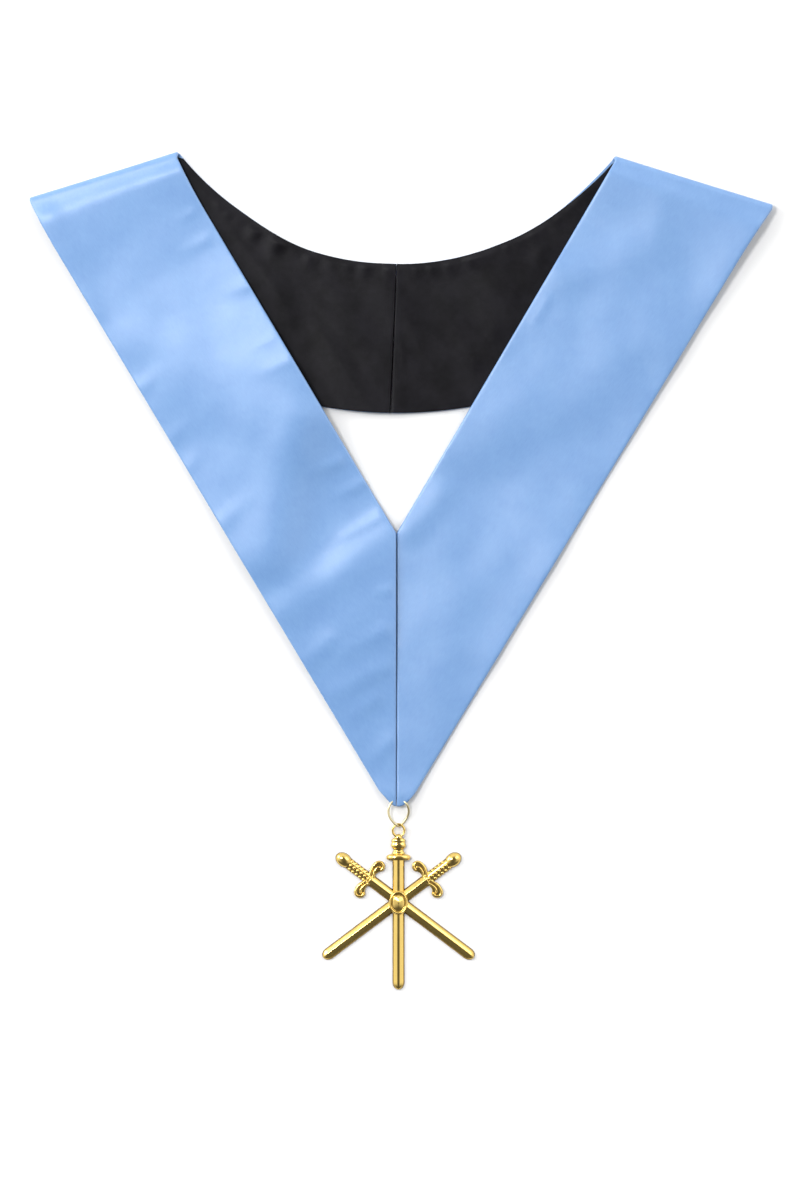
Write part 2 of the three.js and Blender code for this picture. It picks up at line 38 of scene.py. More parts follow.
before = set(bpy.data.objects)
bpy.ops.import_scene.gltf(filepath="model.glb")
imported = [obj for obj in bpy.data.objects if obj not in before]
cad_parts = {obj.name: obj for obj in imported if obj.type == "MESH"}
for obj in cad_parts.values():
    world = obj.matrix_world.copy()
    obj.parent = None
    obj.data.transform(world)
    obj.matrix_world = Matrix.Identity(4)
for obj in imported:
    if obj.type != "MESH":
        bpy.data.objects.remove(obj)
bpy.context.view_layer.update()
MM = 0.001
UV_SCALE = 10
CUT_MARGIN = 0.0001
JEWEL_SHARP = 40
CLOTH_SHARP = 60


def hex_colour(text):
    """An sRGB hex colour as linear red, green, blue and alpha."""
    parts = [int(text[i:i + 2], 16) / 255 for i in (1, 3, 5)]
    return [c / 12.92 if c <= 0.04045 else ((c + 0.055) / 1.055) ** 2.4 for c in parts] + [1.0]


def toned(colour, factor):
    """A linear colour made darker or lighter by a factor."""
    return [min(c * factor, 1) for c in colour[:3]] + [1]


class CollarSizes(bpy.types.PropertyGroup):
    """Sizes of the finish that a user would change."""

    satin_sheet: FloatProperty(
        name="Satin thickness", description="Wall of the satin with its stiffener",
        default=0.6 * MM, unit="LENGTH")
    lining_sheet: FloatProperty(
        name="Lining thickness", description="Wall of the lining cloth",
        default=0.5 * MM, unit="LENGTH")
    satin_thread: FloatProperty(
        name="Satin thread", description="Spacing of the satin's threads as drawn",
        default=0.45 * MM, unit="LENGTH")
    lining_thread: FloatProperty(
        name="Lining thread", description="Spacing of the lining's threads as drawn",
        default=0.5 * MM, unit="LENGTH")
    seam_roll: FloatProperty(
        name="Seam roll", description="How far from a seam the cloth turns down into it",
        default=1.5 * MM, unit="LENGTH")
    across: IntProperty(
        name="Cloth columns", description="Columns of the satin's face", default=84, min=20)
    back_rows: IntProperty(
        name="Back rows", description="Rows of cloth over the back panel", default=90, min=20)
    front_rows: IntProperty(
        name="Front rows", description="Rows of cloth down the front band", default=170, min=40)


class CollarColours(bpy.types.PropertyGroup):
    """Colours of the finish."""

    satin: FloatVectorProperty(
        name="Satin", description="Light blue of the satin", subtype="COLOR", size=4,
        default=hex_colour("#729bcc"), min=0, max=1)
    satin_deep: FloatVectorProperty(
        name="Satin, deeper", description="The satin's deeper blue where the dye took more",
        subtype="COLOR", size=4, default=hex_colour("#628bc1"), min=0, max=1)
    lining: FloatVectorProperty(
        name="Lining", description="Black of the lining", subtype="COLOR", size=4,
        default=hex_colour("#141317"), min=0, max=1)
    gold: FloatVectorProperty(
        name="Gold", description="Plated gold of the jewel", subtype="COLOR", size=4,
        default=hex_colour("#e9c873"), min=0, max=1)
    # Painted shade: a brown laid on the casting low down at its outline, standing in for the shade
    # and dark reflections of its steep sides.
    painted_edge_shade: FloatVectorProperty(
        name="Painted_edge_shade", description="Brown of the casting low down at its outline",
        subtype="COLOR", size=4, default=hex_colour("#75582a"), min=0, max=1)
    champagne: FloatVectorProperty(
        name="Ring", description="Pale gold of the ring's wire", subtype="COLOR", size=4,
        default=hex_colour("#dccfa4"), min=0, max=1)


# The lie of the cloth, in millimetres from the notch where the front bands meet, as in the CAD.
SATIN_WALL = 1.2
LINING_WALL = 1.0
FIT_GAP = 0.3
SEAM_HALF = 0.15
BAND_WIDTH = 100
LIP_WIDTH = 1.6
BAND_THICK = SATIN_WALL + FIT_GAP + LINING_WALL
POINT_DROP = 182
POINT_ROUND = 7.6
POINT_CENTRE = Vector((1.3, -174.6, 0))
POINT_CUT_LEANS = (0, 16, 32, 48)
LINING_POINT_DROP = 172
NECK_HALF = 146.7
NECK_RISE = 252
CORNER_HALF = 248
CORNER_RISE = 221
ARC_CENTRE_RISE = 363.7
NECK_RADIUS = 184.4
BACK_WIDTH = 99.4
BACK_SEAM_SLANT = 4
ROLL_RADIUS = 1.5 + BAND_THICK
REST_GAP = 0.6
EASE_LENGTH = 40
BACK_STEPS = 10
ROLL_STEPS = 6
FRONT_STEPS = 21
FRONT_CROWDING = 1.25
PLAN_SHIFT = Vector((-3.100, 25.800, 0.0))

# Rows of cloth: how they crowd towards the back seam and the point, and how many turn the roll.
BACK_ROW_CROWDING = 1.25
FRONT_ROW_CROWDING = 1.35
ROLL_ROWS = 16

# The turned edges: where the satin's hem starts and ends, and the share of the roll it turns in.
HEM_START = 1.9
HEM_END = 2.6
SATIN_EDGE_STEPS = 8
LINING_EDGE_STEPS = 6
HEM_TURN_SHARE = 0.4
HEM_LEAST = 0.04
THIN_SHARE = 0.05
BARE_SHARE = 0.7

# The soft relief of the cloth, in millimetres apart from shares and seeds. A wave is its size,
# rise and seed.
REST_RUNOUT = 64
ROLL_FADE = 9
PUFF_RUN = 9
PUFF_BREADTH = 7
SATIN_WAVES = ((58, 0.9, 3.1), (24, 0.4, 8.7))
SATIN_LIFT = 0.35
SATIN_SEAM_DROP = 1.1
MITRE_TOP = 6
LINING_SEAM_DROP = 1.0
LINING_SEAM_SHARE = 0.7
LINING_SWELL = 2.6
LINING_SWELL_OFFSET = 6
LINING_LIFT = 0.8
LINING_WAVE = (19, 2.6, 1.7)
LINING_WAVE_SLANT = 0.5
LINING_WAVE_SQUEEZE = 0.45
SEAM_ALLOWANCE = 0.6
ALLOWANCE_EDGE = (7, 9.5)
ALLOWANCE_START = (20, 45)
BAND_SLOPE = 0.59
BAND_COVER = (2, 16)
GATHER_RISE = 3.0
GATHER_RUN = 9
GATHER_START = 4
GATHER_BIAS = 0.4
GATHERS_PER_RADIAN = 24
GATHER_SEED = (0.3, 5.0)

# What differs from side to side: leans in degrees, places as shares of the sizes above, lengths
# in millimetres, lift_steps in stations, and shares of the back panel in the rest.
SIDES = {
    "left": dict(
        sign=-1, inner_lean=30.7, outer_lean=30.88, outer_drop=1.0495,
        neck_half=1.002, neck_rise=1.005, corner_half=0.987, corner_rise=1.0104,
        roll_run=60, puff=0.3, lift_steps=1.4, bare_edge=0.004,
        neck_swell=3.1, swell_from=0.35, swell_full=0.7, lining_breadth=38),
    "right": dict(
        sign=1, inner_lean=30.45, outer_lean=31.26, outer_drop=1.0654,
        neck_half=0.997, neck_rise=0.995, corner_half=1.012, corner_rise=0.9896,
        roll_run=46, puff=0.0, lift_steps=6, bare_edge=0.36,
        neck_swell=2.0, swell_from=0.55, swell_full=0.93, lining_breadth=20),
}

# Folds of the front bands: both ends, rise at each end and breadth, as shares of the band width.
FOLDS = [
    ("left", (-2.34, 2.17), (-2.01, 1.47), 0.0100, 0.0070, 0.080),
    ("left", (-2.39, 2.22), (-1.44, 2.52), 0.0130, 0.0100, 0.400),
    ("left", (-1.64, 0.85), (-0.74, 1.25), 0.0180, 0.0180, 0.460),
    ("left", (-0.00, -0.71), (-0.00, -1.78), 0.0200, 0.0120, 0.500),
    ("right", (0.00, -0.18), (0.00, -1.78), 0.0180, 0.0120, 0.450),
    ("left", (-0.70, 1.02), (-0.94, -0.05), 0.0420, 0.0380, 0.380),
    ("left", (-0.72, 1.02), (-0.95, -0.05), 0.0180, 0.0180, 0.700),
    ("left", (-0.64, 0.73), (-0.83, -0.18), 0.0200, 0.0220, 0.180),
    ("left", (-0.06, 0.01), (-0.74, -0.51), 0.0220, 0.0240, 0.150),
    ("left", (-0.03, -0.18), (-0.63, -0.69), 0.0200, 0.0200, 0.220),
    ("left", (-0.02, -0.50), (-0.48, -1.02), 0.0170, 0.0150, 0.340),
    ("left", (-0.12, 0.11), (-0.34, -0.02), 0.0060, 0.0030, 0.040),
    ("left", (-0.08, -0.65), (-0.34, -0.79), 0.0070, 0.0030, 0.060),
    ("left", (-0.06, -0.38), (-0.11, -0.39), 0.0050, 0.0030, 0.035),
    ("left", (-1.36, 2.13), (-1.47, 2.07), 0.0035, 0.0005, 0.032),
    ("left", (-1.27, 1.95), (-1.42, 1.87), 0.0045, 0.0010, 0.040),
    ("left", (-0.99, 1.65), (-1.16, 1.59), 0.0060, 0.0010, 0.050),
    ("left", (-0.83, 1.29), (-0.98, 1.21), 0.0035, 0.0005, 0.035),
    ("left", (-0.72, 1.14), (-0.90, 1.06), 0.0050, 0.0010, 0.045),
    ("left", (-0.39, 0.47), (-0.54, 0.41), 0.0070, 0.0020, 0.042),
    ("left", (-0.23, 0.33), (-0.39, 0.25), 0.0060, 0.0020, 0.040),
    ("left", (-1.70, 0.97), (-1.56, 1.09), 0.0060, 0.0010, 0.045),
    ("left", (-1.51, 0.62), (-1.38, 0.74), 0.0050, 0.0010, 0.045),
    ("left", (-1.40, 0.43), (-1.30, 0.54), 0.0040, 0.0010, 0.040),
    ("left", (-1.16, 0.07), (-1.00, 0.22), 0.0070, 0.0020, 0.060),
    ("left", (-0.08, -0.90), (-0.39, -1.05), 0.0060, 0.0030, 0.060),
    ("left", (-0.14, -1.11), (-0.30, -1.22), 0.0050, 0.0020, 0.050),
    ("left", (-0.44, -0.71), (-0.60, -0.86), 0.0060, 0.0030, 0.060),
    ("left", (-0.04, -1.39), (-0.16, -1.51), 0.0060, 0.0030, 0.060),
    ("left", (0.00, -1.76), (-0.10, -1.76), 0.0100, 0.0100, 0.090),
    ("right", (0.00, -1.76), (0.10, -1.76), 0.0100, 0.0100, 0.090),
    ("right", (1.40, 2.45), (2.10, 2.23), 0.0220, 0.0100, 0.440),
    ("right", (1.78, 2.33), (1.74, 2.05), 0.0035, 0.0040, 0.100),
    ("right", (1.69, 1.89), (1.13, 1.71), 0.0120, 0.0120, 0.150),
    ("right", (2.44, 2.05), (2.17, 1.61), 0.0150, 0.0150, 0.180),
    ("right", (1.86, 1.07), (1.54, 0.55), 0.0130, 0.0100, 0.170),
    ("right", (1.10, -0.18), (0.69, -0.78), 0.0150, 0.0120, 0.170),
    ("right", (0.08, 0.02), (0.29, 0.25), 0.0150, 0.0100, 0.100),
    ("right", (1.00, 1.55), (0.92, 1.41), 0.0040, 0.0020, 0.040),
    ("right", (0.37, 0.50), (0.82, 0.89), 0.0060, 0.0040, 0.150),
    ("right", (0.49, -0.45), (1.09, 0.09), 0.0120, 0.0100, 0.260),
    ("right", (1.49, 1.55), (1.89, 1.35), 0.0050, 0.0050, 0.300),
]


def lerp(a, b, t):
    return a + (b - a) * t


def smooth(x, low, high):
    t = min(max((x - low) / (high - low), 0), 1)
    return t * t * (3 - 2 * t)


class Lay:
    """Where one half of the collar lies on the table."""

    def __init__(self, name, side):
        self.name = name
        self.side = side
        neck = Vector((side["neck_half"] * NECK_HALF, side["neck_rise"] * NECK_RISE))
        corner = Vector((side["corner_half"] * CORNER_HALF, side["corner_rise"] * CORNER_RISE))
        self.centre = Vector((0, ARC_CENTRE_RISE))
        line = (corner - neck).normalized()
        self.away = Vector((-line.y, line.x))
        self.neck_start = neck - self.away * ROLL_RADIUS
        self.corner_start = corner - self.away * ROLL_RADIUS

    def polar(self, point):
        out = point - self.centre
        return out.length, math.atan2(out.x, -out.y)

    def swell(self, share, along):
        """How far the neck edge stands in from its arc."""
        grown = smooth(along, self.side["swell_from"], self.side["swell_full"])
        return self.side["neck_swell"] * grown * (1 - share) ** 3

    def back(self, share, along):
        """A plan point of the back panel, from the centre seam to the shoulder fold."""
        neck_r, neck_a = self.polar(self.neck_start)
        rim_r, rim_a = self.polar(self.corner_start)
        slant = -self.side["sign"] * BACK_SEAM_SLANT / (NECK_RADIUS + BACK_WIDTH)
        angle = lerp(lerp(0, neck_a, along), lerp(slant, rim_a, along), share)
        radius = lerp(lerp(NECK_RADIUS, neck_r, along ** 4),
                      lerp(NECK_RADIUS + BACK_WIDTH, rim_r, along ** 4), share)
        radius -= self.swell(share, along)
        return Vector((radius * math.sin(angle) + SEAM_HALF * (1 - along),
                       ARC_CENTRE_RISE - radius * math.cos(angle)))

    def edge(self, start, lean, drop, along):
        """A plan point of an edge of the front band, from the fold to the point."""
        rise = start.y + drop
        line = rise * math.tan(math.radians(lean))
        from_fold = math.hypot(rise, line) * along
        ease = (start.x - line) * max(0, 1 - from_fold / EASE_LENGTH) ** 2
        return Vector((line * (1 - along) + ease + SEAM_HALF * along, start.y - rise * along))

    def front(self, share, along):
        """A plan point of the front band."""
        inner = self.edge(self.neck_start, self.side["inner_lean"], 0, along)
        outer = self.edge(self.corner_start, self.side["outer_lean"],
                          self.side["outer_drop"] * POINT_DROP, along)
        return inner.lerp(outer, share)

    def height(self, point, along):
        """How high the satin's face stands on the front band."""
        past = (point - self.centre).length - NECK_RADIUS - BACK_WIDTH
        over = (BAND_THICK + REST_GAP) * (1 - smooth(past, 0, REST_RUNOUT))
        crown = 2 * ROLL_RADIUS - 2 * BAND_THICK - REST_GAP
        run = along * self.neck_start.length
        fade = 1 - smooth(run, 0, self.side["roll_run"])
        roll = crown * fade + self.puff(run)
        away = (BAND_THICK + REST_GAP - over) * fade
        folds = 0
        p = Vector((self.side["sign"] * point.x, point.y))
        for side, start, end, rise, far_rise, breadth in FOLDS:
            if side == self.name:
                a = Vector(start) * BAND_WIDTH
                b = Vector(end) * BAND_WIDTH
                t = min(max((p - a).dot(b - a) / (b - a).length_squared, 0), 1)
                off = (p - a.lerp(b, t)).length / (breadth * BAND_WIDTH)
                folds += lerp(rise, far_rise, t) * BAND_WIDTH * math.exp(-off * off)
        return BAND_THICK + over + roll + away + folds * smooth(run, 0, ROLL_FADE)

    def puff(self, run):
        """The swell of the cloth just past the shoulder fold."""
        off = (run - PUFF_RUN) / PUFF_BREADTH
        return self.side["puff"] * math.exp(-off * off) * smooth(run, 0, PUFF_RUN)


LAYS = {name: Lay(name, side) for name, side in SIDES.items()}


def wave(point, size, amount, seed):
    """A slow unevenness, as pressed cloth has."""
    return amount * noise.noise(Vector((point.x / size, point.y / size, seed)))


def cloth_point(lay, share, station, depth, relief):
    """A point of the cloth: across as a share, along as a station, and behind the satin's face."""
    sign = lay.side["sign"]
    if station <= BACK_STEPS:
        p = lay.back(share, station / BACK_STEPS)
        z = depth + relief(p, station)
        return Vector((sign * p.x, p.y, z))
    if station < BACK_STEPS + ROLL_STEPS:
        turned = (station - BACK_STEPS) / ROLL_STEPS
        inward = (lay.centre - lay.neck_start).normalized() * (1 - turned)
        p = lay.neck_start.lerp(lay.corner_start, share) + inward * lay.swell(share, 1)
        turn = math.pi * (turned - 0.5)
        radius = ROLL_RADIUS - depth
        p = p + lay.away * radius * math.cos(turn)
        return Vector((sign * p.x, p.y, ROLL_RADIUS + radius * math.sin(turn)))
    along = ((station - BACK_STEPS - ROLL_STEPS) / FRONT_STEPS) ** FRONT_CROWDING
    p = lay.front(share, along)
    z = lay.height(p, along) - depth + relief(p, station)
    return Vector((sign * p.x, p.y, z))


def stations(back_rows, front_rows):
    """Rows along a band, closer together in the roll and where the cloth turns into a seam."""
    rows = [BACK_STEPS * (i / back_rows) ** BACK_ROW_CROWDING for i in range(back_rows + 1)]
    rows += [BACK_STEPS + ROLL_STEPS * i / ROLL_ROWS for i in range(1, ROLL_ROWS)]
    last = BACK_STEPS + ROLL_STEPS
    for i in range(front_rows + 1):
        t = 1 - (1 - i / front_rows) ** FRONT_ROW_CROWDING
        rows.append(last + FRONT_STEPS * t ** (1 / FRONT_CROWDING))
    return rows


def new_object(name, mesh, material):
    piece = bpy.data.objects.new(name, mesh)
    bpy.context.scene.collection.objects.link(piece)
    piece.data.materials.append(material)
    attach(piece, "root")
    return piece


def mesh_from(bm, name):
    """The smooth mesh of a cloth or the floor, sharp only at hard bends."""
    mesh = bpy.data.meshes.new(name)
    bm.to_mesh(mesh)
    bm.free()
    mesh.shade_smooth()
    mesh.set_sharp_from_angle(angle=math.radians(CLOTH_SHARP))
    return mesh


def apply_modifiers(piece):
    """The piece's mesh with its modifiers taken in."""
    graph = bpy.context.evaluated_depsgraph_get()
    mesh = bpy.data.meshes.new_from_object(piece.evaluated_get(graph))
    piece.modifiers.clear()
    piece.data = mesh


def cloth_sheet(name, lay, profile, rows, relief, wall, material, trim, back_up):
    """A sheet laid along one side's stations: a grid set down point by point, then given a wall."""
    bm = bmesh.new()
    across, along = len(profile) - 1, len(rows) - 1
    bmesh.ops.create_grid(bm, x_segments=across, y_segments=along, size=0.5)
    uv = bm.loops.layers.uv.new("cloth")
    run = {}
    for vert in bm.verts:
        i = round((vert.co.x + 0.5) * across)
        j = round((vert.co.y + 0.5) * along)
        x, depth = profile[i]
        station = rows[j]
        share, depth = relief["edge"](x, depth, station)
        vert.co = cloth_point(lay, share, station, depth, relief["face"])
        run[vert] = (share * BAND_WIDTH, i, j)
    middle = across // 2
    spine = {j: v.co.copy() for v, (_, i, j) in run.items() if i == middle}
    length = [0.0]
    for j in range(1, along + 1):
        length.append(length[-1] + (spine[j] - spine[j - 1]).length)
    for face in bm.faces:
        for loop in face.loops:
            width, _, j = run[loop.vert]
            loop[uv].uv = (width * MM * UV_SCALE, length[j] * MM * UV_SCALE)
    middle_row = next(j for j, station in enumerate(rows) if station > BACK_STEPS / 2)
    probe = next(v for v, (_, i, j) in run.items() if (i, j) == (middle, middle_row)).link_faces[0]
    probe.normal_update()
    if (probe.normal.z > 0) != back_up:
        bmesh.ops.reverse_faces(bm, faces=bm.faces[:])
    for place, facing in trim:
        geometry = bm.verts[:] + bm.edges[:] + bm.faces[:]
        bmesh.ops.bisect_plane(bm, geom=geometry, plane_co=place, plane_no=facing,
                               clear_outer=True, dist=CUT_MARGIN)
    bmesh.ops.translate(bm, verts=bm.verts, vec=PLAN_SHIFT)
    bmesh.ops.scale(bm, verts=bm.verts, vec=(MM, MM, MM))
    bm.normal_update()
    piece = new_object(name, mesh_from(bm, name), material)
    thick = piece.modifiers.new("wall", "SOLIDIFY")
    thick.thickness = wall
    thick.offset = -1
    thick.use_even_offset = False
    apply_modifiers(piece)
    return piece


def point_cuts(sign):
    """Planes that round the blunt point."""
    cuts = []
    for lean in POINT_CUT_LEANS:
        facing = Vector((sign * math.sin(math.radians(lean)), -math.cos(math.radians(lean)), 0))
        cuts.append((POINT_CENTRE + POINT_ROUND * facing, facing))
    return cuts


def turned_at(station):
    """How much of the hem is turned in at a station."""
    return smooth(station, BACK_STEPS, BACK_STEPS + ROLL_STEPS * HEM_TURN_SHARE)


def bare_at(lay, station):
    """How much of the satin's edge shows beside the lining at the neck."""
    bare = lay.side["bare_edge"]
    return smooth(station, BACK_STEPS * (1 - bare), BACK_STEPS * (1 - bare * 0.1))


def half_round(radius, depth, steps):
    """The turned edge of a cloth, from its underside round to its face."""
    return [(radius - radius * math.sin(math.pi * i / steps),
             depth / 2 + depth / 2 * math.cos(math.pi * i / steps)) for i in range(steps + 1)]


def satin_profile(columns):
    """Across and depth of the satin: hem, turned edge, face, turned edge, hem."""
    edge = [(HEM_END, BAND_THICK), (HEM_START, BAND_THICK)]
    edge += half_round(BAND_THICK / 2, BAND_THICK, SATIN_EDGE_STEPS)
    other = [(BAND_WIDTH - x, d) for x, d in reversed(edge)]
    first = edge[-1][0]
    face = [(lerp(first, BAND_WIDTH - first, i / columns), 0.0) for i in range(1, columns)]
    return edge + face + other


def lining_profile(columns):
    """Across and depth of the lining, which faces away from the satin."""
    turned_edge = half_round(LINING_WALL / 2, LINING_WALL, LINING_EDGE_STEPS)
    edge = [(x, BAND_THICK - d) for x, d in turned_edge]
    other = [(BAND_WIDTH - x, d) for x, d in reversed(edge)]
    first = edge[-1][0]
    face = [(lerp(first, BAND_WIDTH - first, i / columns), BAND_THICK) for i in range(1, columns)]
    return edge + face + other


def seam_drop(distance, roll, depth):
    """How the cloth turns down into a seam."""
    if distance >= roll:
        return 0.0
    t = 1 - max(distance, 0) / roll
    return -depth * t ** 3


def satin_relief(lay, sizes):
    """The satin's unevenness over its face, and its place across and in depth at its edges."""
    roll = sizes.seam_roll / MM

    def face(p, station):
        if station < BACK_STEPS + ROLL_STEPS:
            return 0.0
        lifted = sum(wave(p, *values) for values in SATIN_WAVES)
        seam = seam_drop(p.x, roll, SATIN_SEAM_DROP) if p.y < MITRE_TOP else 0.0
        past_roll = station - BACK_STEPS - ROLL_STEPS
        run = smooth(past_roll, 0, lay.side["lift_steps"])
        return max(lifted + SATIN_LIFT, 0.0) * run + seam

    def edge(x, depth, station):
        lip = max(turned_at(station), HEM_LEAST)
        deep = SATIN_WALL + (depth - SATIN_WALL) * lip if depth > SATIN_WALL else depth
        return x / BAND_WIDTH, deep

    return {"face": face, "edge": edge}


def lining_relief(lay, sizes):
    """The lining's swell, waves and gathers, and its place across at its edges."""
    roll = sizes.seam_roll / MM
    sign = lay.side["sign"]

    def face(p, station):
        if station >= BACK_STEPS:
            return 0.0
        shown = smooth(BAND_SLOPE * p.y - p.x, *BAND_COVER)
        from_neck = (p - Vector((0, ARC_CENTRE_RISE))).length - NECK_RADIUS
        from_seam = p.x + sign * BACK_SEAM_SLANT * from_neck / BACK_WIDTH
        angle = math.atan2(p.x, ARC_CENTRE_RISE - p.y)
        gather = noise.noise(Vector((sign * angle * GATHERS_PER_RADIAN, *GATHER_SEED)))
        fading = GATHER_RISE * math.exp(-(from_neck / GATHER_RUN) ** 2)
        gathers = fading * smooth(from_neck, 0, GATHER_START) * max(GATHER_BIAS + gather, 0)
        off = (from_seam + LINING_SWELL_OFFSET * sign) / lay.side["lining_breadth"]
        swell = LINING_SWELL * math.exp(-off ** 2)
        slanted = Vector((sign * p.x + LINING_WAVE_SLANT * p.y, p.y * LINING_WAVE_SQUEEZE))
        slow = wave(slanted, *LINING_WAVE) + LINING_LIFT
        allowance = 0.0
        if sign > 0:
            near_seam = 1 - smooth(from_seam, *ALLOWANCE_EDGE)
            allowance = SEAM_ALLOWANCE * near_seam * smooth(from_neck, *ALLOWANCE_START)
        relief = (swell + max(slow, 0.0) + gathers + allowance) * shown
        return relief + seam_drop(from_seam, roll * LINING_SEAM_SHARE, LINING_SEAM_DROP)

    def edge(x, depth, station):
        inset = (LIP_WIDTH + FIT_GAP) / BAND_WIDTH
        shown = BARE_SHARE if station < BACK_STEPS else 1
        at_neck = inset * max(shown * bare_at(lay, station), THIN_SHARE)
        at_rim = inset * max(smooth(station, BACK_STEPS - 1, BACK_STEPS), THIN_SHARE)
        return lerp(at_neck, 1 - at_rim, x / BAND_WIDTH), depth

    return {"face": face, "edge": edge}


def add_node(tree, kind, links=(), **settings):
    """Add a node; settings name its own properties or, with in_, its sockets; links feed sockets."""
    node = tree.nodes.new(kind)
    for key, value in settings.items():
        if key.startswith("in_"):
            label = key[3:].replace("_", " ")
            node.inputs[int(label) if label.isdigit() else label].default_value = value
        else:
            setattr(node, key, value)
    for socket, source in dict(links).items():
        tree.links.new(source, node.inputs[socket])
    return node


def start_material(name):
    material = bpy.data.materials.new(name)
    material.use_nodes = True
    tree = material.node_tree
    tree.nodes.clear()
    return material, tree


def blend(tree, factor, low, high):
    """A colour between two, by a factor."""
    node = add_node(tree, "ShaderNodeMix", {"Factor": factor}, data_type="RGBA")
    node.inputs[6].default_value = low
    node.inputs[7].default_value = high
    return node.outputs[2]


def surface(tree, links, **settings):
    """The material's one shader, wired to its output."""
    shader = add_node(tree, "ShaderNodeBsdfPrincipled", links, **settings)
    add_node(tree, "ShaderNodeOutputMaterial", {"Surface": shader.outputs["BSDF"]})


def woven_polyester_satin(colours, sizes):
    """Polyester satin, woven with long floats: a soft lustre that runs along the threads."""
    material, tree = start_material("woven_polyester_satin")
    uv = add_node(tree, "ShaderNodeUVMap", uv_map="cloth")
    drawn = 1 / (sizes.satin_thread * UV_SCALE)
    place = add_node(tree, "ShaderNodeMapping", {"Vector": uv.outputs["UV"]},
                     in_Scale=(drawn, drawn * 0.08, 1.0))
    floats = add_node(tree, "ShaderNodeTexNoise", {"Vector": place.outputs["Vector"]},
                      in_Scale=1.0, in_Detail=2.0, in_Roughness=0.6)
    threads = add_node(tree, "ShaderNodeTexWave", {"Vector": place.outputs["Vector"]},
                       wave_type="BANDS", bands_direction="X", in_Scale=0.31, in_Distortion=0.8,
                       in_Detail=1.0)
    where = add_node(tree, "ShaderNodeTexCoord")
    dye = add_node(tree, "ShaderNodeTexNoise", {"Vector": where.outputs["Object"]},
                   in_Scale=55.0, in_Detail=8.0, in_Roughness=0.75)
    mixed = add_node(tree, "ShaderNodeMath", {0: floats.outputs["Fac"], 1: dye.outputs["Fac"]},
                     operation="ADD")
    tone = add_node(tree, "ShaderNodeMapRange", {"Value": mixed.outputs["Value"]},
                    in_From_Min=0.6, in_From_Max=1.4)
    colour = blend(tree, tone.outputs["Result"], colours.satin_deep, colours.satin)
    gloss = add_node(tree, "ShaderNodeMapRange", {"Value": floats.outputs["Fac"]},
                     in_From_Min=0.3, in_From_Max=0.7, in_To_Min=0.33, in_To_Max=0.42)
    weave = add_node(tree, "ShaderNodeMath", {0: threads.outputs["Fac"], 1: floats.outputs["Fac"]},
                     operation="ADD")
    bump = add_node(tree, "ShaderNodeBump", {"Height": weave.outputs["Value"]},
                    in_Strength=0.17, in_Distance=0.0002)
    surface(tree, {"Base Color": colour, "Roughness": gloss.outputs["Result"],
                   "Normal": bump.outputs["Normal"]},
            in_IOR=1.5, in_Specular_IOR_Level=1.0, in_Sheen_Weight=0.15, in_Sheen_Roughness=0.4)
    return material


def woven_cotton_lining(colours, sizes):
    """Black plain weave lining cloth: matt, with a dusty bloom over fine crossed threads."""
    material, tree = start_material("woven_cotton_lining")
    uv = add_node(tree, "ShaderNodeUVMap", uv_map="cloth")
    drawn = 1 / (sizes.lining_thread * UV_SCALE)
    place = add_node(tree, "ShaderNodeMapping", {"Vector": uv.outputs["UV"]},
                     in_Scale=(drawn, drawn, 1.0))
    warp = add_node(tree, "ShaderNodeTexWave", {"Vector": place.outputs["Vector"]},
                    bands_direction="X", in_Scale=0.31, in_Distortion=0.6, in_Detail=1.0)
    weft = add_node(tree, "ShaderNodeTexWave", {"Vector": place.outputs["Vector"]},
                    bands_direction="Y", in_Scale=0.31, in_Distortion=0.6, in_Detail=1.0)
    weave = add_node(tree, "ShaderNodeMath", {0: warp.outputs["Fac"], 1: weft.outputs["Fac"]},
                     operation="MULTIPLY")
    where = add_node(tree, "ShaderNodeTexCoord")
    bloom = add_node(tree, "ShaderNodeTexNoise", {"Vector": where.outputs["Object"]},
                     in_Scale=60.0, in_Detail=6.0, in_Roughness=0.65)
    worn = add_node(tree, "ShaderNodeMapRange", {"Value": bloom.outputs["Fac"]},
                    in_From_Min=0.34, in_From_Max=0.66)
    colour = blend(tree, worn.outputs["Result"], toned(colours.lining, 0.6),
                   toned(colours.lining, 1.4))
    bump = add_node(tree, "ShaderNodeBump", {"Height": weave.outputs["Value"]},
                    in_Strength=0.25, in_Distance=0.0002)
    gloss = add_node(tree, "ShaderNodeMapRange", {"Value": weave.outputs["Value"]},
                     in_To_Min=0.46, in_To_Max=0.36)
    surface(tree, {"Base Color": colour, "Roughness": gloss.outputs["Result"],
                   "Normal": bump.outputs["Normal"]},
            in_IOR=1.5, in_Specular_IOR_Level=0.10, in_Sheen_Weight=0.02, in_Sheen_Roughness=0.5)
    return material


